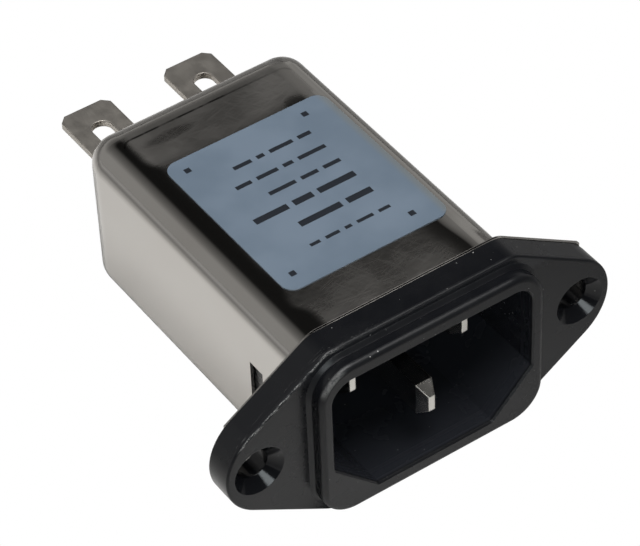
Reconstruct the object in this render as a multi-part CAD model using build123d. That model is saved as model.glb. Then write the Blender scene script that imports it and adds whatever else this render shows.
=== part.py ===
from build123d import *
from math import asin, atan2, cos, hypot, radians, sin
import os

# Power inlet with a built-in line filter. A moulded socket and flange close the front of a drawn
# steel can, and three flat terminals leave the can's rear. The can has a flange of its own behind
# the moulded one, so the mounting screws earth it. Inside, the mains runs from the socket's pins
# through a choke to the terminals, with capacitors across the lines and to earth.
# Millimetres. +Y points into the equipment and +Z up, with the label on top. The origin is on the
# socket's axis at the rear face of the can's flange, which is the face that sits on the panel.

# Socket
SOCKET_WIDTH = 24.7
SOCKET_HEIGHT = 16.65
SOCKET_DEPTH = 16.5
SOCKET_CORNER = 2.4
SOCKET_CUT = 5.15
SOCKET_CUT_EDGE = 0.3
MOUTH_EDGE = 0.2
FLOOR_THICK = 2.0

# Rim that stands proud round the socket's mouth
RIM_SIDE = 1.45
RIM_TOP = 1.85
RIM_PROUD = 2.05
RIM_CORNER = 4.0
RIM_EDGE = 0.6
RIM_FOOT = 0.4
RIM_FOOT_SLOPE = 0.38

# Moulded flange and its two screw ears
FLANGE_THICK = 3.3
FLANGE_LEDGE = 1.1
SHOULDER_INSET = 2.27
SHOULDER_RADIUS = 3.0
SCREW_SPACING = 40.0
SCREW_HOLE = 3.5
SCREW_SINK = 5.9
EAR_MARGIN = 3.85
EAR_RADIUS = 6.2
FLANGE_FRONT_EDGE = 0.25
FLANGE_REAR_EDGE = 0.1

# Shell of the socket, inside the can
SHELL_SIDE = 0.6
SHELL_TOP = 1.5
SHELL_BOTTOM = 1.1
SHELL_REAR_EDGE = 0.5
SHELL_CLEARANCE = 0.08
LATCH_GAP = 0.15
LATCH_PROUD = 0.38

# Drawn can and its flange
CAN_SHEET = 0.4
CAN_CORNER = 3.2
CAN_END_RADIUS = 3.1
CAN_FLANGE_INSET = 0.2
CAN_FLANGE_SHIFT = 0.45
CAN_EAR_MARGIN = 2.0
CAN_MOUTH_BEND = 0.5
WINDOW_FRONT = 5.35
WINDOW_LENGTH = 2.25
WINDOW_HEIGHT = 5.6
WINDOW_DROP = 0.65
SLOT_CORNER = 0.5

# Contact pins
PIN_THICK = 2.0
PIN_HEIGHT = 4.0
PIN_SPACING = 14.0
PIN_OFFSET = 4.0
LIVE_PIN_Z = 2.4
LIVE_TIP_DEPTH = 4.4
EARTH_TIP_DEPTH = 0.6
TIP_LENGTH = 1.4
TIP_THICK = 0.7
TIP_HEIGHT = 2.0
PIN_TAIL = 3.3
BOSS_WALL = 0.8
BOSS_HEIGHT = 0.8

# Rear terminals
TAB_WIDTH = 6.3
TAB_THICK = 0.8
TAB_SPACING = 13.3
TAB_REACH = 11.5
TAB_CORNER = 1.0
TAB_BEVEL = 0.2
TAB_SLOT_WIDTH = 2.4
TAB_SLOT_LENGTH = 5.0
TAB_SLOT_FROM_TIP = 3.1
EARTH_TAB_Z = -5.9
TAIL_WIDTH = 4.0
TAIL_LENGTH = 3.0

# Terminal block that carries them
BLOCK_THICK = 3.0
BLOCK_CLEARANCE = 0.05
COLLAR_WALL = 0.55
COLLAR_PROUD = 0.6
COLLAR_CLEARANCE = 0.1

# Choke
CORE_OUTER = 12.6
CORE_BORE = 7.4
CORE_LENGTH = 6.5
CORE_EDGE = 0.6
CHOKE_WIRE = 0.9
TURN_CLEARANCE = 0.05
TURN_GAP = 0.1
TURN_BEND = 0.55
WINDING_SECTOR = 120.0
DIVIDER_THICK = 1.0
DIVIDER_OVERHANG = 0.5
DIVIDER_CLEARANCE = 0.1

# Capacitors and bleed resistor
XCAP_WIDTH = 18.0
XCAP_HEIGHT = 11.0
XCAP_THICK = 5.0
XCAP_EDGE = 0.5
XCAP_PITCH = 15.0
XCAP_LEAD = 0.8
YCAP_DIAMETER = 7.5
YCAP_THICK = 3.0
YCAP_EDGE = 1.2
YCAP_LEAD = 0.6
YCAP_DROP = 2.4
RESISTOR_DIAMETER = 2.4
RESISTOR_LENGTH = 6.5
RESISTOR_LEAD = 0.6
RESISTOR_EDGE = 0.3
LEAD_BEND = 0.6
LEAD_RISE = 1.6

# Earth strap, liner and label
STRAP_WIDTH = 4.0
STRAP_THICK = 0.5
STRAP_BEND = 0.8
LINER_SHEET = 0.25
LINER_CLEARANCE = 0.05
LABEL_LENGTH = 23.35
LABEL_LEFT = 9.2
LABEL_RIGHT = 11.0
LABEL_FRONT = 6.15
LABEL_CORNER = 1.5
LABEL_THICK = 0.1

# Free lengths along the can, and the gap left between parts that only lie beside each other
STRAP_ROOM = 0.2
CHOKE_ROOM = 1.3
REAR_ROOM = 1.2
SEAT_GAP = 0.1

# Socket, rim and flange, from the front
socket_half_width = SOCKET_WIDTH / 2
socket_half_height = SOCKET_HEIGHT / 2
flange_rear = -CAN_SHEET
flange_front = flange_rear - FLANGE_THICK
rim_front = flange_front - RIM_PROUD
rim_width = SOCKET_WIDTH + 2 * RIM_SIDE
rim_height = SOCKET_HEIGHT + 2 * RIM_TOP
flange_height = rim_height + 2 * FLANGE_LEDGE
shoulder_x = rim_width / 2 - SHOULDER_INSET
ear_centre = SCREW_SPACING / 2 + EAR_MARGIN - EAR_RADIUS
socket_floor = rim_front + SOCKET_DEPTH
shell_rear = socket_floor + FLOOR_THICK

# Shell and can: the can is the shell's size plus a clearance and its own sheet
shell_width = SOCKET_WIDTH + 2 * SHELL_SIDE
shell_height = SOCKET_HEIGHT + SHELL_TOP + SHELL_BOTTOM
can_z = (SHELL_TOP - SHELL_BOTTOM) / 2
can_width = shell_width + 2 * (SHELL_CLEARANCE + CAN_SHEET)
can_height = shell_height + 2 * (SHELL_CLEARANCE + CAN_SHEET)
can_floor = can_z - can_height / 2 + CAN_SHEET

# Pins
live_pin_x = PIN_SPACING / 2
earth_pin_z = LIVE_PIN_Z - PIN_OFFSET
pin_end = shell_rear + PIN_TAIL
live_pin_top = LIVE_PIN_Z + PIN_HEIGHT / 2

# Order of the inner parts along Y
xcap_front = pin_end + STRAP_THICK + STRAP_ROOM
xcap_rear = xcap_front + XCAP_THICK
turn_space = CHOKE_WIRE + TURN_CLEARANCE
choke_front = xcap_rear + CHOKE_ROOM
core_front = choke_front + turn_space
core_rear = core_front + CORE_LENGTH
choke_rear = core_rear + turn_space
tail_front = choke_rear + REAR_ROOM
block_front = tail_front + TAIL_LENGTH
block_rear = block_front + BLOCK_THICK
can_end_inside = block_rear + BLOCK_CLEARANCE
can_end = can_end_inside + CAN_SHEET
tab_tip = can_end + TAB_REACH
tab_x = TAB_SPACING / 2

# Heights inside the can
liner_floor = can_floor + LINER_CLEARANCE + LINER_SHEET
strap_floor = liner_floor + SEAT_GAP / 2
strap_top = strap_floor + STRAP_THICK
part_floor = strap_top + SEAT_GAP
choke_radius = CORE_OUTER / 2 + turn_space
choke_z = part_floor + choke_radius
liner_half_width = can_width / 2 - CAN_SHEET - LINER_CLEARANCE - LINER_SHEET


def slab(outline, y_near, y_far):
    """A flat outline drawn in X and Z, made solid from y_near to y_far."""
    face_plane = Plane((0, y_far, 0), x_dir=(1, 0, 0), z_dir=(0, -1, 0))
    return extrude(face_plane * outline, y_far - y_near)


def rod(diameter, points, bend):
    """Round wire along straight runs joined by bends."""
    path = FilletPolyline(*points, radius=bend)
    section = Plane(origin=path @ 0, z_dir=path % 0) * Circle(diameter / 2)
    return sweep(section, path=path)


def mirrored(solid):
    """The same piece on the neutral side."""
    return mirror(solid, about=Plane.YZ)


def socket_outline():
    """The mouth's outline: rounded above, with a slanted cut at both lower corners."""
    cut_z = -socket_half_height + SOCKET_CUT
    cut_x = socket_half_width - SOCKET_CUT
    corners = [
        (-socket_half_width, socket_half_height),
        (socket_half_width, socket_half_height),
        (socket_half_width, cut_z),
        (cut_x, -socket_half_height),
        (-cut_x, -socket_half_height),
        (-socket_half_width, cut_z),
    ]
    radii = [SOCKET_CORNER] * 2 + [SOCKET_CUT_EDGE] * 4
    return make_face(FilletPolyline(*corners, radius=radii, close=True))


def ear_slope():
    """The angle of the flange's sloped edges, which run from its shoulders to the round ears."""
    run = ear_centre - shoulder_x
    rise = flange_height / 2
    return atan2(rise, run) - asin(EAR_RADIUS / hypot(run, rise))


def flange_outline(end_radius):
    """A six-sided plate with round shoulders, whose two end corners have a radius of their own."""
    half_height = flange_height / 2
    apex = ear_centre + EAR_RADIUS / sin(ear_slope())
    corners = [
        (-apex, 0),
        (-shoulder_x, half_height),
        (shoulder_x, half_height),
        (apex, 0),
        (shoulder_x, -half_height),
        (-shoulder_x, -half_height),
    ]
    radii = [end_radius, SHOULDER_RADIUS, SHOULDER_RADIUS] * 2
    return make_face(FilletPolyline(*corners, radius=radii, close=True))


def flange_plate():
    """The moulded flange, rounded over in front and broken at its rear edge."""
    plate = slab(flange_outline(EAR_RADIUS), flange_front, flange_rear)
    plate = fillet(plate.faces().sort_by(Axis.Y)[0].edges(), FLANGE_FRONT_EDGE)
    return chamfer(plate.faces().sort_by(Axis.Y)[-1].edges(), FLANGE_REAR_EDGE)


def rim_ring():
    """The proud rim, with its front edge rounded over."""
    ring = slab(RectangleRounded(rim_width, rim_height, RIM_CORNER), rim_front, flange_front)
    return fillet(ring.faces().sort_by(Axis.Y)[0].edges(), RIM_EDGE)


def rim_foot():
    """The small sloped step where the rim rises from the flange."""
    foot_width = rim_width + 2 * RIM_FOOT
    foot_height = rim_height + 2 * RIM_FOOT
    outline = RectangleRounded(foot_width, foot_height, RIM_CORNER + RIM_FOOT)
    foot = slab(outline, flange_front - RIM_FOOT, flange_front)
    return chamfer(foot.faces().sort_by(Axis.Y)[0].edges(), RIM_FOOT_SLOPE)


def screw_holes():
    """Two holes through both flanges, countersunk in the moulded one's front face."""
    sink_depth = (SCREW_SINK - SCREW_HOLE) / 2
    bore = Cylinder(SCREW_HOLE / 2, -flange_front, align=(Align.CENTER, Align.CENTER, Align.MIN))
    sink = Cone(SCREW_HOLE / 2, SCREW_SINK / 2, sink_depth, align=(Align.CENTER, Align.CENTER, Align.MAX))
    right = Plane((SCREW_SPACING / 2, 0, 0), x_dir=(1, 0, 0), z_dir=(0, -1, 0))
    hole = right * bore + right.offset(-flange_front) * sink
    return hole + mirrored(hole)


def latch():
    """A ramp on the shell that snaps into the can's side window, steep towards the flange."""
    side = shell_width / 2
    root = side - SHELL_SIDE / 2
    crest = side + SHELL_CLEARANCE + LATCH_PROUD
    latch_front = WINDOW_FRONT + LATCH_GAP
    latch_rear = WINDOW_FRONT + WINDOW_LENGTH - LATCH_GAP
    corners = [(root, latch_front), (crest, latch_front), (side, latch_rear), (root, latch_rear)]
    ramp = Polygon(*corners, align=None)
    height = WINDOW_HEIGHT - 2 * LATCH_GAP
    return Pos(0, 0, -WINDOW_DROP - height / 2) * extrude(ramp, height)


def pin_section():
    return Rectangle(PIN_THICK, PIN_HEIGHT)


def pin_places():
    """X and Z of the line, neutral and earth pins."""
    return [(live_pin_x, LIVE_PIN_Z), (-live_pin_x, LIVE_PIN_Z), (0, earth_pin_z)]


def inlet_housing():
    """One moulding: flange, proud rim, polarised socket, latches and the bosses that hold the pins."""
    shell_outline = RectangleRounded(shell_width, shell_height, CAN_CORNER - CAN_SHEET - SHELL_CLEARANCE)
    shell = slab(Pos(0, can_z) * shell_outline, flange_rear, shell_rear)
    shell = chamfer(shell.faces().sort_by(Axis.Y)[-1].edges(), SHELL_REAR_EDGE)
    body = flange_plate() + rim_ring() + rim_foot() + shell + latch() + mirrored(latch())
    boss = RectangleRounded(PIN_THICK + 2 * BOSS_WALL, PIN_HEIGHT + 2 * BOSS_WALL, BOSS_WALL)
    for x, z in pin_places():
        body += slab(Pos(x, z) * boss, shell_rear, shell_rear + BOSS_HEIGHT)
    body -= slab(socket_outline(), rim_front, socket_floor)
    mouth = body.faces().filter_by(Axis.Y).sort_by(Axis.Y)[0]
    body = chamfer(mouth.inner_wires()[0].edges(), MOUTH_EDGE)
    for x, z in pin_places():
        body -= slab(Pos(x, z) * pin_section(), socket_floor, shell_rear + BOSS_HEIGHT)
    return body - screw_holes()


def can_section(inset):
    """The can's section, or what fits inside it when inset from the outside."""
    outline = RectangleRounded(can_width - 2 * inset, can_height - 2 * inset, CAN_CORNER - inset)
    return Pos(0, can_z) * outline


def can_form(inset, y_near, y_far):
    """A deep tray with round corners: the can's outside, or its inside when inset by the sheet."""
    form = slab(can_section(inset), y_near, y_far)
    return fillet(form.faces().sort_by(Axis.Y)[-1].edges(), CAN_END_RADIUS - inset)


def tab_places():
    """X and Z of the line, neutral and earth terminals."""
    return [(tab_x, LIVE_PIN_Z), (-tab_x, LIVE_PIN_Z), (0, EARTH_TAB_Z)]


def collar_outline(clearance=0.0):
    """Round one terminal: the block's collar, or the can's slot when given a clearance."""
    border = COLLAR_WALL + clearance
    return RectangleRounded(TAB_WIDTH + 2 * border, TAB_THICK + 2 * border, SLOT_CORNER)


def metal_can():
    """One drawn sheet: a flange with square-cut ears, the walls and the slotted rear wall.

    The flange is trimmed a little smaller than the moulded one, and lies a little to the line side.
    """
    cut_square = Rectangle(SCREW_SPACING + 2 * CAN_EAR_MARGIN, flange_height)
    trimmed = offset(flange_outline(SHOULDER_RADIUS), -CAN_FLANGE_INSET) & cut_square
    can = slab(Pos(CAN_FLANGE_SHIFT, 0) * trimmed, flange_rear, 0) + can_form(0, 0, can_end)
    bend_edges = can.faces().filter_by(Axis.Y).sort_by(Axis.Y)[1].inner_wires()[0].edges()
    can = fillet(bend_edges, CAN_MOUTH_BEND)
    can -= can_form(CAN_SHEET, flange_rear, can_end_inside)
    mouth_edges = can.faces().sort_by(Axis.Y)[0].inner_wires()[0].edges()
    can = fillet(mouth_edges, CAN_MOUTH_BEND + CAN_SHEET)
    for x, z in tab_places():
        can -= slab(Pos(x, z) * collar_outline(COLLAR_CLEARANCE), block_front, can_end)
    window_y = WINDOW_FRONT + WINDOW_LENGTH / 2
    window = Pos(0, window_y, -WINDOW_DROP) * Box(2 * can_width, WINDOW_LENGTH, WINDOW_HEIGHT)
    return can - window - screw_holes()


def contact_pin(x, z, tip_depth):
    """A flat blade with a four-sided taper at its tip, and a tail behind the socket's floor."""
    tip = rim_front + tip_depth
    shoulder = tip + TIP_LENGTH
    blade = slab(Pos(x, z) * pin_section(), shoulder, pin_end)
    tip_plane = Plane((x, tip, z), x_dir=(1, 0, 0), z_dir=(0, -1, 0))
    tip_end = tip_plane * Rectangle(TIP_THICK, TIP_HEIGHT)
    return blade + loft([tip_plane.offset(-TIP_LENGTH) * pin_section(), tip_end])


def terminal_tab(x, z):
    """A flat tab with clipped corners and a slot for a wire, and a narrower tail inside the can."""
    outer = Rectangle(TAB_WIDTH, tab_tip - block_front, align=(Align.CENTER, Align.MIN))
    outer = chamfer(outer.vertices().group_by(Axis.Y)[-1], TAB_CORNER)
    tail = Rectangle(TAIL_WIDTH, TAIL_LENGTH, align=(Align.CENTER, Align.MAX))
    slot_y = tab_tip - block_front - TAB_SLOT_FROM_TIP - TAB_SLOT_LENGTH / 2
    outline = outer + tail - Pos(0, slot_y) * SlotOverall(TAB_SLOT_LENGTH, TAB_SLOT_WIDTH, rotation=90)
    tab = extrude(Plane.XY.offset(-TAB_THICK / 2) * outline, TAB_THICK)
    tip_edges = tab.faces().sort_by(Axis.Y)[-1].edges().filter_by(Axis.X)
    return Pos(x, block_front, z) * chamfer(tip_edges, TAB_BEVEL)


def terminal_block():
    """The moulded plate behind the can's rear wall, with a collar round each terminal."""
    block = can_form(CAN_SHEET + BLOCK_CLEARANCE, block_front, block_rear)
    for x, z in tab_places():
        block += slab(Pos(x, z) * collar_outline(), block_rear, can_end + COLLAR_PROUD)
    for x, z in tab_places():
        block -= slab(Pos(x, z) * Rectangle(TAB_WIDTH, TAB_THICK), block_front, can_end + COLLAR_PROUD)
    return block


def insulating_liner():
    """A thin wrap that keeps the parts away from the can's wall."""
    inset = CAN_SHEET + LINER_CLEARANCE
    wrap = can_section(inset) - can_section(inset + LINER_SHEET)
    return slab(wrap, shell_rear + SEAT_GAP, block_front - SEAT_GAP)


def choke_core():
    ring = Pos(0, choke_z) * (Circle(CORE_OUTER / 2) - Circle(CORE_BORE / 2))
    core = slab(ring, core_front, core_rear)
    return fillet(core.edges().filter_by(GeomType.CIRCLE), CORE_EDGE)


def line_winding():
    """One wire: from the line pin, over the core's right half in even turns, to the line terminal."""
    outer = choke_radius - CHOKE_WIRE / 2
    inner = CORE_BORE / 2 - TURN_CLEARANCE - CHOKE_WIRE / 2
    front = choke_front + CHOKE_WIRE / 2
    rear = choke_rear - CHOKE_WIRE / 2
    turns = int(radians(WINDING_SECTOR) * inner / (CHOKE_WIRE + TURN_GAP))

    def at(radius, turn, y):
        angle = radians(WINDING_SECTOR / 2 - turn * WINDING_SECTOR / turns)
        return (radius * cos(angle), y, choke_z + radius * sin(angle))

    start_x, _, start_z = at(outer, 0, front)
    pin_side = live_pin_x - PIN_THICK / 2
    solder_y = pin_end - CHOKE_WIRE - SEAT_GAP
    points = [
        (pin_side, solder_y, LIVE_PIN_Z),
        (start_x, solder_y, LIVE_PIN_Z),
        (start_x, solder_y, start_z),
    ]
    for turn in range(turns):
        points += [at(outer, turn, rear), at(inner, turn, rear), at(inner, turn, front)]
        points += [at(outer, turn + 1, front)]
    end_x, _, end_z = at(outer, turns, rear)
    tail_y = block_front - CHOKE_WIRE - SEAT_GAP
    landing_x = tab_x + TAIL_WIDTH / 2 - CHOKE_WIRE
    points[-1:] = [at(outer, turns, front), (end_x, tail_y, end_z)]
    points += [(landing_x, tail_y, end_z), (landing_x, tail_y, LIVE_PIN_Z - TAB_THICK / 2)]
    return rod(CHOKE_WIRE, points, TURN_BEND)


def winding_divider():
    """The flat separator that keeps the two windings apart in the core's bore."""
    width = CORE_BORE - 2 * DIVIDER_CLEARANCE
    plate = Pos(0, choke_z) * Rectangle(DIVIDER_THICK, width)
    return slab(plate, core_front - DIVIDER_OVERHANG, core_rear + DIVIDER_OVERHANG)


def x_capacitor():
    case = Pos(0, part_floor + XCAP_HEIGHT / 2) * Rectangle(XCAP_WIDTH, XCAP_HEIGHT)
    box = slab(case, xcap_front, xcap_rear)
    return fillet(box.edges(), XCAP_EDGE)


def x_capacitor_lead():
    """From the capacitor's top, over to the top edge of the line pin's tail."""
    x = XCAP_PITCH / 2
    case_y = (xcap_front + xcap_rear) / 2
    pin_y = pin_end - XCAP_LEAD
    high = live_pin_top + LEAD_RISE
    points = [
        (x, case_y, part_floor + XCAP_HEIGHT),
        (x, case_y, high),
        (x, pin_y, high),
        (x, pin_y, live_pin_top),
    ]
    return rod(XCAP_LEAD, points, LEAD_BEND)


def ycap_centre():
    x = liner_half_width - SEAT_GAP - YCAP_THICK / 2
    return Vector(x, (core_front + core_rear) / 2, can_z - YCAP_DROP)


def line_y_capacitor():
    """A dipped disc that stands on edge beside the choke."""
    disc = Cylinder(YCAP_DIAMETER / 2, YCAP_THICK, rotation=(0, 90, 0))
    return Pos(ycap_centre()) * fillet(disc.edges().filter_by(GeomType.CIRCLE), YCAP_EDGE)


def line_y_capacitor_leads():
    """One lead to the line terminal's tail, one under the choke to the earth strap."""
    centre = ycap_centre()
    radius = YCAP_DIAMETER / 2
    tail_y = tail_front + YCAP_LEAD
    tail_x = tab_x - TAIL_WIDTH / 2 + YCAP_LEAD
    to_tab = [
        (centre.X, centre.Y + radius, centre.Z),
        (centre.X, tail_y, centre.Z),
        (tail_x, tail_y, centre.Z),
        (tail_x, tail_y, LIVE_PIN_Z - TAB_THICK / 2),
    ]
    strap_z = strap_floor + STRAP_THICK / 2
    to_strap = [
        (centre.X, centre.Y, centre.Z - radius),
        (centre.X, centre.Y, strap_z),
        (STRAP_WIDTH / 2, centre.Y, strap_z),
    ]
    return Compound([rod(YCAP_LEAD, to_tab, LEAD_BEND), rod(YCAP_LEAD, to_strap, LEAD_BEND)])


def resistor_place():
    """Y and Z of the resistor, which lies across behind the socket's floor, above the pins."""
    radius = RESISTOR_DIAMETER / 2
    return shell_rear + radius + SEAT_GAP, live_pin_top + LEAD_RISE + radius + SEAT_GAP


def bleed_resistor():
    y, z = resistor_place()
    body = Cylinder(RESISTOR_DIAMETER / 2, RESISTOR_LENGTH, rotation=(0, 90, 0))
    return Pos(0, y, z) * fillet(body.edges().filter_by(GeomType.CIRCLE), RESISTOR_EDGE)


def bleed_resistor_lead():
    """From the resistor's end, down to the top edge of the line pin's tail."""
    y, z = resistor_place()
    points = [(RESISTOR_LENGTH / 2, y, z), (live_pin_x, y, z), (live_pin_x, y, live_pin_top)]
    return rod(RESISTOR_LEAD, points, LEAD_BEND)


def earth_strap():
    """A folded strip from the earth pin's tail, along the can's floor, to the earth terminal."""
    front_y = pin_end + STRAP_THICK / 2
    rear_y = tail_front - STRAP_THICK / 2
    floor_z = strap_floor + STRAP_THICK / 2
    path = FilletPolyline(
        (0, front_y, earth_pin_z + TIP_HEIGHT / 2),
        (0, front_y, floor_z),
        (0, rear_y, floor_z),
        (0, rear_y, EARTH_TAB_Z + TAB_THICK),
        radius=STRAP_BEND,
    )
    section = Plane(origin=path @ 0, x_dir=(1, 0, 0), z_dir=path % 0) * Rectangle(STRAP_WIDTH, STRAP_THICK)
    return sweep(section, path=path)


def rating_label():
    """A bare adhesive label on the can's top, which wraps a little onto the right-hand corner."""
    skin = slab(can_section(-LABEL_THICK) - can_section(0), LABEL_FRONT, LABEL_FRONT + LABEL_LENGTH)
    centre_x = (LABEL_RIGHT - LABEL_LEFT) / 2
    shape = RectangleRounded(LABEL_LEFT + LABEL_RIGHT, LABEL_LENGTH, LABEL_CORNER)
    cutter = Pos(centre_x, LABEL_FRONT + LABEL_LENGTH / 2, can_z) * extrude(shape, can_height)
    return skin & cutter


line_pin = contact_pin(live_pin_x, LIVE_PIN_Z, LIVE_TIP_DEPTH)
line_tab = terminal_tab(tab_x, LIVE_PIN_Z)
winding = line_winding()
y_capacitor = line_y_capacitor()
y_capacitor_leads = line_y_capacitor_leads()
x_lead = x_capacitor_lead()
resistor_lead = bleed_resistor_lead()

nodes = {
    "inlet_housing": inlet_housing(),
    "metal_can": metal_can(),
    "rating_label": rating_label(),
    "line_pin": line_pin,
    "neutral_pin": mirrored(line_pin),
    "earth_pin": contact_pin(0, earth_pin_z, EARTH_TIP_DEPTH),
    "line_tab": line_tab,
    "neutral_tab": mirrored(line_tab),
    "earth_tab": terminal_tab(0, EARTH_TAB_Z),
    "terminal_block": terminal_block(),
    "insulating_liner": insulating_liner(),
    "choke_core": choke_core(),
    "line_winding": winding,
    "neutral_winding": mirrored(winding),
    "winding_divider": winding_divider(),
    "x_capacitor": x_capacitor(),
    "x_capacitor_leads": Compound([x_lead, mirrored(x_lead)]),
    "line_y_capacitor": y_capacitor,
    "line_y_capacitor_leads": y_capacitor_leads,
    "neutral_y_capacitor": mirrored(y_capacitor),
    "neutral_y_capacitor_leads": mirrored(y_capacitor_leads),
    "bleed_resistor": bleed_resistor(),
    "bleed_resistor_leads": Compound([resistor_lead, mirrored(resistor_lead)]),
    "earth_strap": earth_strap(),
}

os.makedirs("parts", exist_ok=True)
for name, solid in nodes.items():
    export_step(solid, f"parts/{name}.step")
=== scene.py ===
import math

import bpy
from mathutils import Matrix, Vector


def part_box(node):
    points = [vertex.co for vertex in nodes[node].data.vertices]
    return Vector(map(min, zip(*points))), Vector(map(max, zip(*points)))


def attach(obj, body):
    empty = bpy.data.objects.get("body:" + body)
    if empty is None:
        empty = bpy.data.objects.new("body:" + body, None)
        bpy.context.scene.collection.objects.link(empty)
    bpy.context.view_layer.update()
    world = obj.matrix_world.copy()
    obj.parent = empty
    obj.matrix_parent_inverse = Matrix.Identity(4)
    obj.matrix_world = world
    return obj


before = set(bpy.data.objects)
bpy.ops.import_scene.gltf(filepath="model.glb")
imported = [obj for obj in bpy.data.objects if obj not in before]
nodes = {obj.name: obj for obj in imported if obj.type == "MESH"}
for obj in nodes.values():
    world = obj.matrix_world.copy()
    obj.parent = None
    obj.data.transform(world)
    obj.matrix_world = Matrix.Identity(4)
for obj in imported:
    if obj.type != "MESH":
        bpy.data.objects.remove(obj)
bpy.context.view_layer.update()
scene = bpy.context.scene
MM = 0.001
housing_low, housing_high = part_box("inlet_housing")
_, label_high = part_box("rating_label")

# Sizes of the part that the finishes follow, in millimetres and degrees
FLANGE_HALF_HEIGHT = round(housing_high.z / MM, 3)
FLANGE_FRONT = -3.7
FLANGE_SLOPE = 32.6
SHOULDER_X = 11.53
SCREW_X = 20.0
COUNTERSINK_RADIUS = 2.95
RIM_FRONT = round(housing_low.y / MM, 3)
MOUTH_HALF_WIDTH = 12.35
MOUTH_HALF_HEIGHT = 8.325
CAN_FLANGE_MIDDLE = -0.16
CAN_FLAT_HALF_WIDTH = 9.4
CAN_FLAT_REAR = 34.1
CREASE_RADIUS = 1.2


# Node helpers. Texture coordinates are the part's own, in millimetres.
class Look:
    """A procedural material: a Principled shader and the small nodes that drive it."""

    def __init__(self, name, colour, roughness, metallic=0.0, specular=0.5):
        self.material = bpy.data.materials.new(name)
        self.material.use_nodes = True
        self.tree = self.material.node_tree
        self.shader = self.tree.nodes["Principled BSDF"]
        self.set("Base Color", (*colour, 1.0))
        self.set("Roughness", roughness)
        self.set("Metallic", metallic)
        self.set("Specular IOR Level", specular)
        coordinates = self.tree.nodes.new("ShaderNodeTexCoord")
        scale = self.tree.nodes.new("ShaderNodeMapping")
        scale.inputs["Scale"].default_value = (1000, 1000, 1000)
        self.link(coordinates.outputs["Object"], scale.inputs["Vector"])
        self.place = scale.outputs["Vector"]

    def set(self, socket, value):
        self.shader.inputs[socket].default_value = value

    def link(self, source, target):
        self.tree.links.new(source, target)

    def to(self, source, socket):
        self.link(source, self.shader.inputs[socket])

    def maths(self, operation, a, b=0.0, clamp=False):
        node = self.tree.nodes.new("ShaderNodeMath")
        node.operation = operation
        node.use_clamp = clamp
        for index, value in enumerate((a, b)):
            if isinstance(value, (int, float)):
                node.inputs[index].default_value = value
            else:
                self.link(value, node.inputs[index])
        return node.outputs[0]

    def chain(self, operation, values):
        result = values[0]
        for value in values[1:]:
            result = self.maths(operation, result, value)
        return result

    def product(self, *values):
        return self.chain("MULTIPLY", values)

    def total(self, *values):
        return self.chain("ADD", values)

    def highest(self, *values):
        return self.chain("MAXIMUM", values)

    def minus(self, a, b):
        return self.maths("SUBTRACT", a, b)

    def absolute(self, value):
        return self.maths("ABSOLUTE", value)

    def squares(self, a, b):
        return self.total(self.product(a, a), self.product(b, b))

    def distance(self, a, b):
        return self.maths("SQRT", self.squares(a, b))

    def stretched(self, scale, turn=(0, 0, 0), shift=(0, 0, 0)):
        """Turned by degrees first, so that the lines lie at that angle, then stretched."""
        turned = self.tree.nodes.new("ShaderNodeMapping")
        turned.inputs["Rotation"].default_value = [math.radians(angle) for angle in turn]
        self.link(self.place, turned.inputs["Vector"])
        node = self.tree.nodes.new("ShaderNodeMapping")
        node.inputs["Scale"].default_value = scale
        node.inputs["Location"].default_value = shift
        self.link(turned.outputs["Vector"], node.inputs["Vector"])
        return node.outputs["Vector"]

    def noise(self, scale, detail=3.0, rough=0.55, place=None):
        node = self.tree.nodes.new("ShaderNodeTexNoise")
        node.inputs["Scale"].default_value = scale
        node.inputs["Detail"].default_value = detail
        node.inputs["Roughness"].default_value = rough
        self.link(place or self.place, node.inputs["Vector"])
        return node.outputs["Fac"]

    def wander(self, scale, reach):
        """A slow drift to both sides of zero, within the reach in millimetres."""
        return self.product(self.minus(self.noise(scale, 2.0, 0.5), 0.5), reach)

    def specks(self, scale, size, share):
        """Round spots in some of the cells of a cell pattern."""
        node = self.tree.nodes.new("ShaderNodeTexVoronoi")
        node.inputs["Scale"].default_value = scale
        self.link(self.place, node.inputs["Vector"])
        pick = self.tree.nodes.new("ShaderNodeSeparateColor")
        self.link(node.outputs["Color"], pick.inputs["Color"])
        chosen = self.maths("LESS_THAN", pick.outputs[0], share)
        radius = self.product(pick.outputs[1], size * scale)
        spot = self.maths("LESS_THAN", node.outputs["Distance"], radius)
        return self.product(chosen, spot)

    def ramp(self, value, low, high, to_low=0.0, to_high=1.0):
        node = self.tree.nodes.new("ShaderNodeMapRange")
        node.interpolation_type = "SMOOTHSTEP"
        node.inputs["From Min"].default_value = low
        node.inputs["From Max"].default_value = high
        node.inputs["To Min"].default_value = to_low
        node.inputs["To Max"].default_value = to_high
        self.link(value, node.inputs["Value"])
        return node.outputs["Result"]

    def between(self, value, start, rise, fall, end):
        """One from rise to fall, fading to nothing at start and at end."""
        return self.product(self.ramp(value, start, rise), self.ramp(value, end, fall))

    def mix(self, factor, a, b):
        node = self.tree.nodes.new("ShaderNodeMix")
        node.data_type = "RGBA"
        self.link(factor, node.inputs["Factor"])
        for socket, value in ((6, a), (7, b)):
            if isinstance(value, tuple):
                node.inputs[socket].default_value = (*value, 1.0)
            else:
                self.link(value, node.inputs[socket])
        return node.outputs[2]

    def axis(self, which):
        node = self.tree.nodes.new("ShaderNodeSeparateXYZ")
        self.link(self.place, node.inputs["Vector"])
        return node.outputs[which]

    def upward(self):
        """How far the surface faces up: the Z component of its own direction."""
        geometry = self.tree.nodes.new("ShaderNodeNewGeometry")
        node = self.tree.nodes.new("ShaderNodeSeparateXYZ")
        self.link(geometry.outputs["Normal"], node.inputs["Vector"])
        return node.outputs[2]

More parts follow.
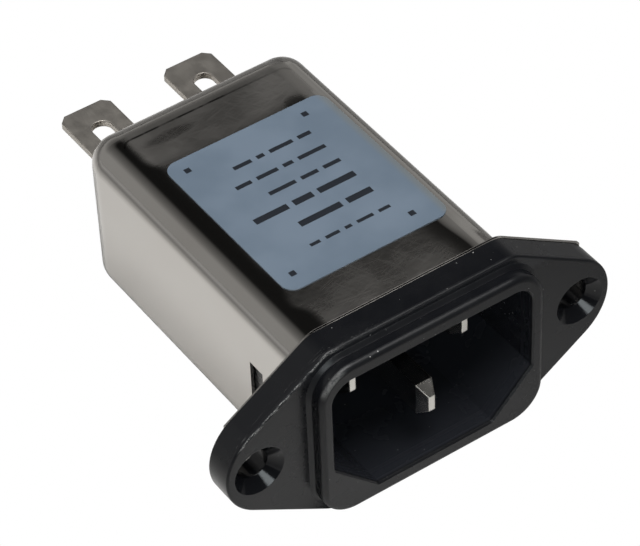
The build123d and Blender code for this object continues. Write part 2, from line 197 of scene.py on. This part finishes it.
    def soft_edges(self, radius):
        """The surface's direction, with its edges rounded to a radius in millimetres."""
        node = self.tree.nodes.new("ShaderNodeBevel")
        node.samples = 6
        node.inputs["Radius"].default_value = radius * MM
        return node.outputs["Normal"]

    def edge_mask(self, radius, low=0.02, high=0.2):
        """One on outer and inner edges, fading to nothing one radius away."""
        geometry = self.tree.nodes.new("ShaderNodeNewGeometry")
        node = self.tree.nodes.new("ShaderNodeVectorMath")
        node.operation = "DOT_PRODUCT"
        self.link(self.soft_edges(radius), node.inputs[0])
        self.link(geometry.outputs["Normal"], node.inputs[1])
        return self.ramp(self.minus(1.0, node.outputs["Value"]), low, high)

    def bump(self, height, depth, edges=None):
        """Height is a number field, and depth is what a height of one stands for, in millimetres."""
        node = self.tree.nodes.new("ShaderNodeBump")
        node.inputs["Strength"].default_value = 1.0
        node.inputs["Distance"].default_value = depth * MM
        self.link(height, node.inputs["Height"])
        if edges is not None:
            self.link(edges, node.inputs["Normal"])
        self.to(node.outputs["Normal"], "Normal")


def dress(look, *names):
    for name in names:
        mesh = nodes[name].data
        mesh.materials.clear()
        mesh.materials.append(look.material)


# Black moulding: near black and satin, with a worn front ridge, scuffs and specks of dust
def outward(look, x, z):
    """How far a point lies outside the moulded flange's sloped and level edges, in millimetres."""
    slope = math.radians(FLANGE_SLOPE)
    reach = FLANGE_HALF_HEIGHT * math.cos(slope) + SHOULDER_X * math.sin(slope)
    sideways = look.product(look.absolute(x), math.sin(slope))
    sloped = look.minus(look.total(sideways, look.product(z, math.cos(slope))), reach)
    return look.highest(sloped, look.minus(z, FLANGE_HALF_HEIGHT))


def moulding_wear_and_highlight(look, x, z, from_rim, out, depth):
    """Rubbed places on the flange's ridge and the mouth's lower edge, and at the rim's upper corner a patch
    that is partly rubbed wear and partly a painted highlight.
    """
    broken = look.ramp(look.noise(0.9, 4.0, 0.7), 0.36, 0.52)
    crumble = look.ramp(look.noise(9.0, 3.0, 0.7), 0.44, 0.58)

    # The ridge between the flange's front and its upper edges, most worn on the neutral side
    line = look.product(look.ramp(out, -0.42, -0.26), look.between(depth, -0.01, 0.03, 0.06, 0.13))
    neutral_side = look.total(look.ramp(x, -9.0, -12.0), look.ramp(x, 11.0, -6.0, 0.0, 0.10))
    ridge = look.product(line, neutral_side, broken, crumble)

    # Short scuffs on the sloped edge just behind the ridge
    along = look.stretched((0.5, 8.0, 8.0), turn=(0, FLANGE_SLOPE, 0))
    hairs = look.ramp(look.noise(1.0, 2.0, 0.5, along), 0.60, 0.68)
    near = look.product(look.ramp(out, -0.30, -0.15), look.ramp(depth, 1.3, 0.2))
    near = look.product(near, look.ramp(x, -2.0, -9.0), look.ramp(z, 0.0, 4.0))
    scuffs = look.product(hairs, near, broken, 0.16)

    mouth = look.product(look.ramp(x, 5.0, 7.0), look.ramp(z, 0.0, -2.0), look.ramp(from_rim, 0.35, 0.15))
    mouth = look.product(look.edge_mask(0.16, 0.02, 0.16), mouth, broken, crumble, 0.4)

    # At the rim's upper corner the pale patch is partly rubbed wear and partly a painted highlight on the
    # rounded corner
    corner = look.product(look.ramp(x, -10.3, -12.0), look.ramp(z, 7.2, 8.4))
    corner = look.product(corner, look.between(from_rim, 0.0, 0.05, 0.30, 0.60))
    corner = look.product(corner, look.ramp(look.noise(3.5, 3.0, 0.6), 0.30, 0.58, 0.12, 0.42))
    return look.highest(ridge, mouth, corner, scuffs)


def black_moulding():
    look = Look("black_moulding", (0.006, 0.0065, 0.008), 0.24, specular=0.42)
    x, y, z = look.axis(0), look.axis(1), look.axis(2)
    from_rim = look.minus(y, RIM_FRONT)
    from_flange = look.minus(y, FLANGE_FRONT)
    out = outward(look, x, z)
    depth = look.total(from_flange, look.wander(0.8, 0.25))
    wear_and_highlight = moulding_wear_and_highlight(look, x, z, from_rim, out, depth)

    cloud = look.noise(0.22, 3.0, 0.6)
    base = look.mix(cloud, (0.0050, 0.0055, 0.0075), (0.0080, 0.0085, 0.0100))
    # Inside the socket the moulding is painted paler: painted light that lifts the deep socket's shade
    inside = look.ramp(look.absolute(x), MOUTH_HALF_WIDTH + 0.10, MOUTH_HALF_WIDTH - 0.05)
    inside = look.product(inside, look.ramp(from_rim, 0.25, 0.55))
    low_enough = look.ramp(look.absolute(z), MOUTH_HALF_HEIGHT + 0.125, MOUTH_HALF_HEIGHT - 0.025)
    base = look.mix(look.product(inside, low_enough), base, (0.024, 0.026, 0.032))
    # The flange's front just above the rim is painted paler too: painted light against the rim's shade, and
    # some dust
    ledge = look.product(look.between(from_flange, -0.05, -0.02, 0.01, 0.04), look.ramp(z, 8.0, 9.0))
    base = look.mix(ledge, base, (0.020, 0.021, 0.024))
    # Pale rubbed wear, and at the rim's upper corner a painted highlight
    base = look.mix(wear_and_highlight, base, (0.36, 0.36, 0.35))
    small = look.maths("ADD", look.specks(1.3, 0.09, 0.36), look.specks(0.6, 0.11, 0.26), clamp=True)
    dust = look.product(small, look.ramp(z, -6.0, 4.0, 0.35, 1.0), look.ramp(from_rim, 0.85, 0.45, 0.55, 1.0))
    base = look.mix(look.product(dust, 0.7), base, (0.62, 0.62, 0.60))
    look.to(base, "Base Color")

    # The countersinks are smoother
    from_screw = look.distance(look.minus(look.absolute(x), SCREW_X), z)
    smooth = look.ramp(from_screw, COUNTERSINK_RADIUS - 0.05, COUNTERSINK_RADIUS + 0.15, 0.10, 0.0)
    rough = look.minus(look.ramp(cloud, 0.35, 0.65, 0.22, 0.28), smooth)
    # The rim's rounded edge, the flange's ridge and the small step at the rim's foot are duller
    round_edge = look.product(look.between(from_rim, 0.005, 0.03, 0.55, 0.75), 0.14)
    ridge_edge = look.product(look.ramp(out, -0.42, -0.26), look.ramp(depth, 0.5, 0.3), 0.14)
    foot = look.product(look.between(from_flange, -0.55, -0.42, -0.03, 0.01), 0.09)
    rough = look.total(rough, round_edge, ridge_edge, foot)
    look.to(look.total(rough, look.product(wear_and_highlight, 0.3)), "Roughness")
    look.bump(look.total(look.noise(6.0, 3.0, 0.6), wear_and_highlight), 0.0035, look.soft_edges(0.08))
    return look


# Plated steel of the can: smooth round its bends, finely scratched on its flat top
def scratched_zone(look, x, y):
    """One on the flat top, whose shiny margins on the right and left wander a little."""
    wander = look.wander(0.16, 3.0)
    right = look.minus(look.total(x, wander), look.ramp(y, 29.0, 31.0, 0.0, 4.5))
    left = look.total(look.product(wander, 0.35), x)
    left = look.total(left, look.ramp(y, 2.5, 5.0, -0.4, 0.5))
    left = look.minus(left, look.ramp(y, 5.5, 7.5, 0.0, 0.5))
    left = look.total(left, look.ramp(y, 29.0, 31.5, 0.0, 0.7))
    level = look.ramp(look.upward(), 0.985, 0.999)
    return look.product(level, look.ramp(left, -9.9, -8.6), look.ramp(right, 8.8, 6.2))


def fine_scratches(look):
    scratches = []
    for turn, stretch, shift in ((8, (0.30, 6, 1), 0), (-17, (0.35, 8, 1), 7), (63, (0.5, 7, 1), 3)):
        place = look.stretched(stretch, turn=(0, 0, turn), shift=(shift, 2 * shift, 0))
        scratches.append(look.ramp(look.noise(1.0, 2.0, 0.5, place), 0.50, 0.68))
    return look.highest(*scratches)


def satin_of_top(look, x, y):
    """Roughness of the scratched top: more at its two ends, less in two smudges behind the label."""
    behind_label = look.ramp(y, 28.5, 31.0)
    ends = look.total(look.ramp(y, 6.5, 1.5, 0.0, 0.05), look.product(behind_label, 0.078))
    sides = look.ramp(look.absolute(x), 3.0, 9.0, 0.0, 0.040)
    ends = look.total(ends, look.product(sides, behind_label))
    satin = look.total(ends, look.ramp(look.noise(0.20, 1.0, 0.5), 0.35, 0.65, 0.215, 0.255))
    for middle, length, width, depth in (
        ((-5.7, 33.5), 3.4, 0.9, 0.055),
        ((8.0, 29.8), 1.6, 1.3, 0.10),
    ):
        along = look.maths("DIVIDE", look.minus(x, middle[0]), length)
        across = look.maths("DIVIDE", look.minus(y, middle[1]), width)
        satin = look.minus(satin, look.ramp(look.squares(along, across), 1.2, 0.1, 0.0, depth))
    return satin


def crease_shade(look, x, y):
    """Painted shade along the crease where the flat top meets the bend at the rear, round at its two ends."""
    beside = look.highest(look.minus(look.absolute(x), CAN_FLAT_HALF_WIDTH), 0.0)
    behind = look.highest(look.minus(y, CAN_FLAT_REAR), 0.0)
    away = look.absolute(look.minus(look.distance(beside, behind), CREASE_RADIUS))
    crease = look.product(look.ramp(away, 0.20, 0.06), look.ramp(behind, 0.2, 0.5))
    crease = look.product(crease, look.ramp(look.upward(), 0.8, 0.9))
    crease = look.product(crease, look.ramp(look.noise(0.5, 3.0, 0.6), 0.35, 0.60, 0.5, 1.0))
    return look.product(crease, look.ramp(x, 9.0, 0.0, 0.5, 1.0))


def plated_steel():
    look = Look("plated_steel", (0.56, 0.54, 0.51), 0.15, metallic=1.0)
    x, y, z = look.axis(0), look.axis(1), look.axis(2)
    scratched = scratched_zone(look, x, y)
    hair = look.product(fine_scratches(look), look.ramp(scratched, 0.0, 1.0, 0.08, 1.0))
    # The cut edge of the can's flange along its top: dark between two thin light lines. The dark middle is
    # painted shade; the light lines come from roughness
    across = look.absolute(look.minus(y, CAN_FLANGE_MIDDLE))
    on_cut = look.ramp(z, FLANGE_HALF_HEIGHT - 0.375, FLANGE_HALF_HEIGHT - 0.275)
    cut_shade = look.product(on_cut, look.ramp(across, 0.09, 0.07))
    cut_sides = look.product(on_cut, look.ramp(across, 0.07, 0.09))

    tint = look.mix(look.noise(0.18, 3.0, 0.5), (0.545, 0.52, 0.49), (0.58, 0.565, 0.54))
    # The flat top's colour is darkened halfway: painted shade on the top, for the dark surroundings it
    # mirrors
    tint = look.mix(look.product(scratched, 0.5), tint, (0.36, 0.345, 0.325))
    # Painted shade darkens the crease at the rear
    tint = look.mix(crease_shade(look, x, y), tint, (0.06, 0.057, 0.054))
    # The cut edge's dark middle is painted shade
    look.to(look.mix(cut_shade, tint, (0.03, 0.03, 0.03)), "Base Color")

    smooth = 0.12
    more = look.product(scratched, look.minus(satin_of_top(look, x, y), smooth))
    rough = look.total(smooth, more, look.product(cut_sides, 0.22))
    look.to(look.total(rough, look.product(hair, 0.035)), "Roughness")

    fine = look.noise(9.0, 3.0, 0.6)
    height = look.minus(look.product(fine, 0.05), look.product(hair, 0.10))
    # The flat top falls off gently before the bends on the line side and at the rear
    sideways = look.minus(x, look.ramp(y, 6.0, 1.0, 0.0, 0.5))
    fall = look.total(look.ramp(sideways, 8.9, 11.3, 43.0, 0.0), look.ramp(y, 35.3, 37.6, 25.0, 0.0))
    look.bump(look.total(height, fall), 0.010, look.soft_edges(0.06))
    return look


# Label film: pale blue-grey, half gloss, with a faint mottle
def label_film():
    look = Look("label_film", (0.165, 0.215, 0.275), 0.36)
    cloud = look.noise(0.12, 3.0, 0.5)
    blue = look.mix(look.ramp(cloud, 0.35, 0.65), (0.150, 0.196, 0.252), (0.176, 0.226, 0.288))
    # Painted paler and greyer where it goes round the can's corner: a painted sheen where the bend mirrors
    # the floor
    bend_sheen = look.ramp(look.axis(0), 9.8, 10.9, 0.0, 0.7)
    look.to(look.mix(bend_sheen, blue, (0.190, 0.200, 0.190)), "Base Color")
    look.to(look.ramp(cloud, 0.3, 0.7, 0.32, 0.42), "Roughness")
    look.bump(look.noise(2.5, 3.0, 0.5), 0.003, look.soft_edges(0.05))
    return look


def label_ink():
    look = Look("label_ink", (0.018, 0.022, 0.03), 0.42)
    dots = look.noise(7.0, 2.0, 0.6)
    look.to(look.mix(dots, (0.007, 0.010, 0.016), (0.018, 0.022, 0.030)), "Base Color")
    look.bump(dots, 0.002)
    return look


# Plated contacts: bright nickel pins and duller tinned tabs
def contact(name, low, high, roughness, hair, edge):
    look = Look(name, low, roughness, metallic=1.0)
    cloud = look.noise(0.5, 1.0, 0.5)
    lines = look.ramp(look.noise(1.0, 3.0, 0.6, look.stretched((14.0, 0.7, 14.0))), 0.35, 0.7)
    look.to(look.mix(cloud, low, high), "Base Color")
    uneven = look.total(look.ramp(cloud, 0.3, 0.7, -0.02, 0.03), look.product(lines, hair))
    # The worn edges at the foremost tip are duller, so they catch more of the light
    near_tip = look.ramp(look.axis(1), -3.5, -3.8)
    uneven = look.total(uneven, look.product(look.edge_mask(0.14), near_tip, edge))
    look.to(look.total(uneven, roughness), "Roughness")
    look.bump(cloud, 0.002, look.soft_edges(0.20))
    return look


def plain(name, low, high, roughness, metallic=0.0):
    """A finish for what lies out of sight inside: two tones, uneven gloss and a little grain."""
    look = Look(name, low, roughness, metallic)
    cloud = look.noise(1.2, 3.0, 0.6)
    look.to(look.mix(cloud, low, high), "Base Color")
    look.to(look.ramp(cloud, 0.3, 0.7, roughness - 0.05, roughness + 0.08), "Roughness")
    look.bump(look.noise(6.0, 3.0, 0.6), 0.008, look.soft_edges(0.08))
    return look


dress(black_moulding(), "inlet_housing")
dress(plated_steel(), "metal_can")
dress(label_film(), "rating_label")
dress(
    contact("nickel_pin", (0.76, 0.74, 0.69), (0.80, 0.78, 0.74), 0.16, 0.04, 0.26),
    "line_pin", "neutral_pin", "earth_pin",
)
dress(
    contact("tinned_tab", (0.48, 0.45, 0.41), (0.53, 0.50, 0.455), 0.42, 0.05, 0.0),
    "line_tab", "neutral_tab", "earth_tab", "earth_strap",
)
dress(
    plain("block_moulding", (0.010, 0.010, 0.012), (0.016, 0.016, 0.018), 0.42),
    "terminal_block",
)
dress(
    plain("liner_film", (0.72, 0.69, 0.60), (0.82, 0.79, 0.72), 0.40),
    "insulating_liner", "winding_divider",
)
dress(
    plain("coated_ferrite", (0.05, 0.16, 0.08), (0.07, 0.20, 0.11), 0.35),
    "choke_core",
)
dress(
    plain("enamelled_copper", (0.52, 0.17, 0.05), (0.64, 0.26, 0.10), 0.25, 0.9),
    "line_winding", "neutral_winding",
)
dress(
    plain("film_capacitor", (0.62, 0.40, 0.05), (0.72, 0.48, 0.08), 0.35),
    "x_capacitor",
)
dress(
    plain("disc_capacitor", (0.02, 0.10, 0.32), (0.03, 0.14, 0.40), 0.28),
    "line_y_capacitor", "neutral_y_capacitor",
)
dress(
    plain("resistor_coat", (0.46, 0.38, 0.24), (0.56, 0.47, 0.31), 0.32),
    "bleed_resistor",
)
dress(
    plain("tinned_wire", (0.58, 0.57, 0.54), (0.68, 0.67, 0.64), 0.30, 1.0),
    "x_capacitor_leads", "line_y_capacitor_leads", "neutral_y_capacitor_leads", "bleed_resistor_leads",
)


# Print on the label: plain bars that stand for lines of print, and no letters
def print_bars():
    vertices, faces = [], []
    first_word = 6.4
    space = 0.7
    # Each row's place along the can, the bars' height and their lengths, from the line side
    rows = [
        (24.6, 0.55, [1.6, 2.9, 0.9, 2.2]),
        (21.9, 0.55, [3.4, 1.2, 2.6, 1.9]),
        (19.2, 0.55, [2.1, 2.1, 3.3]),
        (16.4, 0.85, [4.6, 2.4, 4.1]),
        (13.4, 0.85, [3.1, 5.2]),
        (10.4, 0.45, [1.4, 2.0, 0.8, 1.7, 1.2]),
    ]
    dot = 0.7

    def bar(x, y, length, width):
        start = len(vertices)
        for z in (label_high.z - 0.01 * MM, label_high.z + 0.012 * MM):
            vertices.extend([
                (x * MM, y * MM, z), ((x + length) * MM, y * MM, z),
                ((x + length) * MM, (y + width) * MM, z), (x * MM, (y + width) * MM, z),
            ])
        for face in ((3, 2, 1, 0), (4, 5, 6, 7), (0, 1, 5, 4), (1, 2, 6, 5), (2, 3, 7, 6), (3, 0, 4, 7)):
            faces.append([start + corner for corner in face])

    for y, width, words in rows:
        x = first_word
        for word in words:
            x -= word
            bar(x, y, word, width)
            x -= space
    for y in (8.0, 27.2):
        for x in (-7.6, 7.2):
            bar(x, y, dot, dot)
    mesh = bpy.data.meshes.new("label_print")
    mesh.from_pydata(vertices, [], faces)
    mesh.materials.append(label_ink().material)
    piece = bpy.data.objects.new("label_print", mesh)
    scene.collection.objects.link(piece)
    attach(piece, "root")


print_bars()


# Helpers for the floor and the surroundings
def greys(tree, value, stops, green, blue):
    """A colour ramp of warm greys through pairs of place and level, with green and blue as shares."""
    node = tree.nodes.new("ShaderNodeValToRGB")
    tree.links.new(value, node.inputs[0])
    elements = node.color_ramp.elements
    while len(elements) < len(stops):
        elements.new(0.5)
    for element, (position, level) in zip(elements, stops):
        element.position = position
        element.color = (level, level * green, level * blue, 1)
    return node.outputs[0]


def white_to_camera(tree, shader, white_kind, output_kind):
    """The camera's own rays meet plain white, and all others meet the shader."""
    white = tree.nodes.new(white_kind)
    white.inputs["Color"].default_value = (1, 1, 1, 1)
    path = tree.nodes.new("ShaderNodeLightPath")
    mix = tree.nodes.new("ShaderNodeMixShader")
    output = tree.nodes.new(output_kind)
    tree.links.new(path.outputs["Is Camera Ray"], mix.inputs[0])
    tree.links.new(shader, mix.inputs[1])
    tree.links.new(white.outputs[0], mix.inputs[2])
    tree.links.new(mix.outputs[0], output.inputs[0])


# Floor: it touches the flange's lower edge and the can's rear, so it tips by two degrees
def pool_of_light(tree, place):
    """The floor's colour is a painted pool of light: pale round the object, darkening outwards."""
    squeeze = tree.nodes.new("ShaderNodeMapping")
    squeeze.inputs["Scale"].default_value = (1, 0.6, 1)
    tree.links.new(place, squeeze.inputs["Vector"])
    distance = tree.nodes.new("ShaderNodeVectorMath")
    distance.operation = "DISTANCE"
    distance.inputs[1].default_value = (-0.006, 0.6 * 0.030, 0)
    tree.links.new(squeeze.outputs["Vector"], distance.inputs[0])
    scale = tree.nodes.new("ShaderNodeMath")
    scale.operation = "MULTIPLY"
    scale.inputs[1].default_value = 10
    tree.links.new(distance.outputs["Value"], scale.inputs[0])
    diffuse = tree.nodes.new("ShaderNodeBsdfDiffuse")
    pool = greys(tree, scale.outputs[0], [(0.22, 0.81), (0.32, 0.55), (0.60, 0.24)], 0.985, 0.965)
    tree.links.new(pool, diffuse.inputs["Color"])
    return diffuse.outputs[0]


def far_glow(tree, place):
    """Far out on the neutral side the floor glows as bright as the surroundings above it: painted light,
    though the floor is no lamp.
    """
    split = tree.nodes.new("ShaderNodeSeparateXYZ")
    tree.links.new(place, split.inputs[0])
    far = tree.nodes.new("ShaderNodeMapRange")
    far.inputs["From Min"].default_value = -0.055
    far.inputs["From Max"].default_value = -0.14
    far.inputs["To Max"].default_value = 0.235
    tree.links.new(split.outputs[0], far.inputs["Value"])
    glow = tree.nodes.new("ShaderNodeEmission")
    tree.links.new(far.outputs["Result"], glow.inputs["Strength"])
    return glow.outputs[0]


def floor():
    half = 3.0
    corners = [(-half, -half, 0), (half, -half, 0), (half, half, 0), (-half, half, 0)]
    mesh = bpy.data.meshes.new("floor")
    mesh.from_pydata(corners, [], [(0, 1, 2, 3)])
    piece = bpy.data.objects.new("floor", mesh)
    scene.collection.objects.link(piece)
    piece.location = (0, -0.6 * MM, housing_low.z)
    piece.rotation_euler = (math.radians(2.14), 0, 0)
    material = bpy.data.materials.new("pale_floor")
    material.use_nodes = True
    tree = material.node_tree
    tree.nodes.clear()
    place = tree.nodes.new("ShaderNodeTexCoord").outputs["Object"]
    lit = tree.nodes.new("ShaderNodeAddShader")
    tree.links.new(pool_of_light(tree, place), lit.inputs[0])
    tree.links.new(far_glow(tree, place), lit.inputs[1])
    white_to_camera(tree, lit.outputs[0], "ShaderNodeEmission", "ShaderNodeOutputMaterial")
    mesh.materials.append(material)


floor()


# Surroundings: mid grey behind the object, dark in front and high up, and white to the camera
def surroundings():
    world = bpy.data.worlds.new("studio")
    scene.world = world
    world.use_nodes = True
    tree = world.node_tree
    tree.nodes.clear()
    place = tree.nodes.new("ShaderNodeTexCoord").outputs["Generated"]
    toward = tree.nodes.new("ShaderNodeVectorMath")
    toward.operation = "DOT_PRODUCT"
    toward.inputs[1].default_value = (0.220, 0.604, 0.766)
    tree.links.new(place, toward.inputs[0])
    stops = [(0.68, 0.35), (0.80, 0.20), (0.93, 0.09), (0.975, 0.007)]
    dark = greys(tree, toward.outputs["Value"], stops, 0.99, 0.97)
    split = tree.nodes.new("ShaderNodeSeparateXYZ")
    tree.links.new(place, split.inputs[0])
    behind = tree.nodes.new("ShaderNodeMapRange")
    behind.interpolation_type = "SMOOTHSTEP"
    behind.inputs["From Min"].default_value = -0.1
    behind.inputs["From Max"].default_value = 0.4
    behind.inputs["To Min"].default_value = 0.15
    tree.links.new(split.outputs[1], behind.inputs["Value"])
    shade = tree.nodes.new("ShaderNodeBackground")
    tree.links.new(dark, shade.inputs["Color"])
    tree.links.new(behind.outputs["Result"], shade.inputs["Strength"])
    white_to_camera(tree, shade.outputs[0], "ShaderNodeBackground", "ShaderNodeOutputWorld")


surroundings()


# Lights: soft panels, each aimed at the object's middle
def panel(name, azimuth, elevation, distance, width, height, radiance, colour=(1, 1, 1)):
    """Azimuth from +Y towards +X, elevation from the floor, both in degrees."""
    light = bpy.data.lights.new(name, "AREA")
    light.shape = "RECTANGLE"
    light.size = width
    light.size_y = height
    light.energy = radiance * math.pi * width * height
    light.color = colour
    lamp = bpy.data.objects.new(name, light)
    scene.collection.objects.link(lamp)
    a, e = math.radians(azimuth), math.radians(elevation)
    away = Vector((math.sin(a) * math.cos(e), math.cos(a) * math.cos(e), math.sin(e)))
    lamp.location = Vector((0, 0.016, 0)) + away * distance
    lamp.rotation_euler = away.to_track_quat("Z", "Y").to_euler()


panel("key", -163, 27, 0.7, 0.27, 0.20, 4.7, (0.90, 0.97, 1.0))
panel("top", 180, 82, 0.8, 0.5, 0.5, 7.5)


# Camera, at the photograph's angle and distance
data = bpy.data.cameras.new("camera")
data.sensor_fit = "HORIZONTAL"
data.sensor_width = 36
data.lens = 182.864
data.clip_start = 0.01
data.clip_end = 20
camera = bpy.data.objects.new("camera", data)
scene.collection.objects.link(camera)
right = Vector((0.81950601, -0.57210538, -0.03324655))
up = Vector((0.4165609, 0.55484805, 0.72015322))
forward = Vector((0.39355674, 0.6040191, -0.69301805))
pose = Matrix((right, up, -forward)).transposed().to_4x4()
pose.translation = Vector((-0.1330944, -0.1898053, 0.2359275))
camera.matrix_world = pose
scene.camera = camera
scene.view_settings.view_transform = "Standard"
